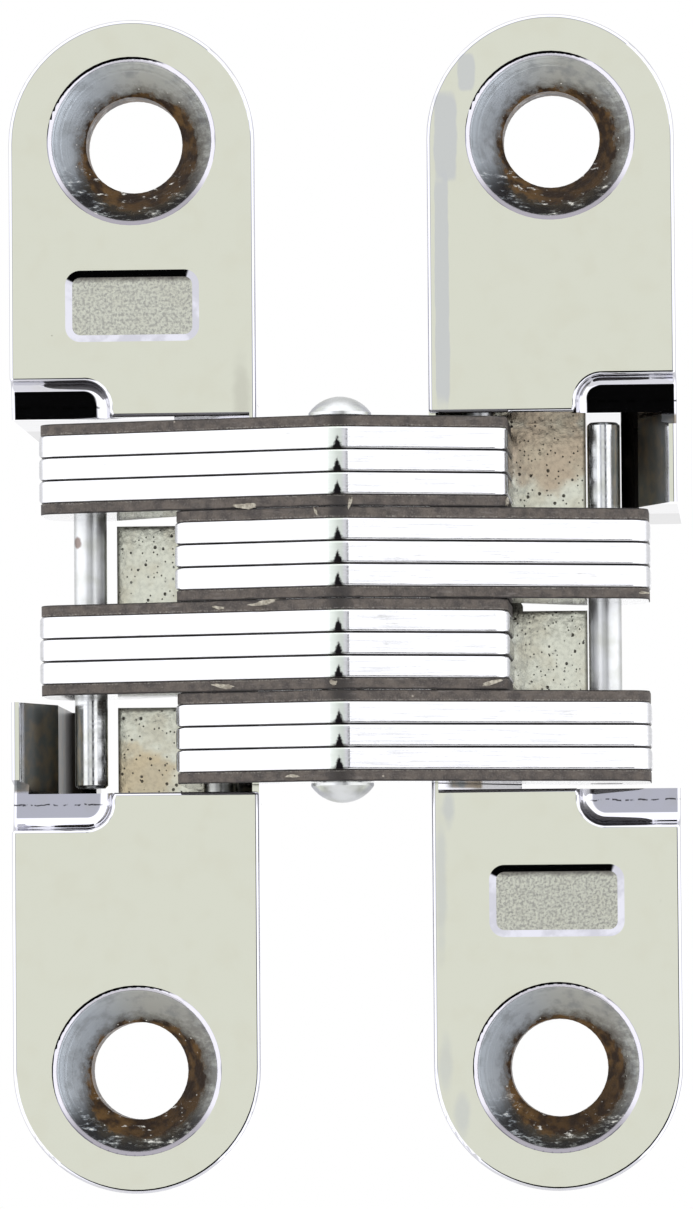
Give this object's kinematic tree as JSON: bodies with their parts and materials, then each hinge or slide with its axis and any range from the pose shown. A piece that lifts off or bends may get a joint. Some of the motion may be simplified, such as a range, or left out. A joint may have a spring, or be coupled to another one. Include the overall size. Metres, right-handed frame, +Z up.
{
  "type": "concealed invisible door hinge",
  "caption": "Concealed two-leaf mortise hinge: rounded countersunk leaves joined by stacked steel links that fold into both bodies as the door closes.",
  "frame": {"origin": "centre of the left leaf's screw pattern, in the plane of the backs of its lobes, which rest on the wood", "axes": "+Z up along the pins, the faces look toward -Y, +X from the left leaf to the right leaf, hinge fully open"},
  "size_m": [0.0342, 0.0211, 0.0604],
  "materials": {
    "casting": "bright plated die casting",
    "link": "bright plated steel stamping",
    "pin": "polished steel",
    "friction_plate": "matt dark fibre"
  },
  "bodies": {
    "left_leaf": {"left_leaf": "casting", "left_pivot_pin": "pin"},
    "links_a": {"right_slide_pin": "pin", "centre_pin": "pin", "pack_2_plate_top": "friction_plate", "pack_2_link_top": "link", "pack_2_link_middle": "link", "pack_2_link_low": "link", "pack_2_plate_low": "friction_plate", "pack_4_plate_top": "friction_plate", "pack_4_link_top": "link", "pack_4_link_middle": "link", "pack_4_link_low": "link", "pack_4_plate_low": "friction_plate"},
    "links_b": {"left_slide_pin": "pin", "pack_1_plate_top": "friction_plate", "pack_1_link_top": "link", "pack_1_link_middle": "link", "pack_1_link_low": "link", "pack_1_plate_low": "friction_plate", "pack_3_plate_top": "friction_plate", "pack_3_link_top": "link", "pack_3_link_middle": "link", "pack_3_link_low": "link", "pack_3_plate_low": "friction_plate"},
    "right_leaf": {"right_leaf": "casting", "right_pivot_pin": "pin"}
  },
  "joints": [
    {"name": "left_pivot", "type": "hinge", "parent": "left_leaf", "child": "links_a", "pos_m": [0.00398, 0.00103, 0], "axis": [0, 0, -1], "range_deg": [0, 97.2]},
    {"name": "centre_pivot", "type": "hinge", "parent": "links_a", "child": "links_b", "pos_m": [0.01077, -0.0062, 0], "axis": [0, 0, -1], "range_deg": [-14.41, 0.01]},
    {"name": "right_pivot", "type": "hinge", "parent": "links_b", "child": "right_leaf", "pos_m": [0.01757, 0.00103, 0], "axis": [0, 0, -1], "range_deg": [-0.01, 97.21]}
  ],
  "couplings": [
    {"joint": "centre_pivot", "follows": "left_pivot", "ratio": -0.14815},
    {"joint": "right_pivot", "follows": "left_pivot", "ratio": 1}
  ]
}
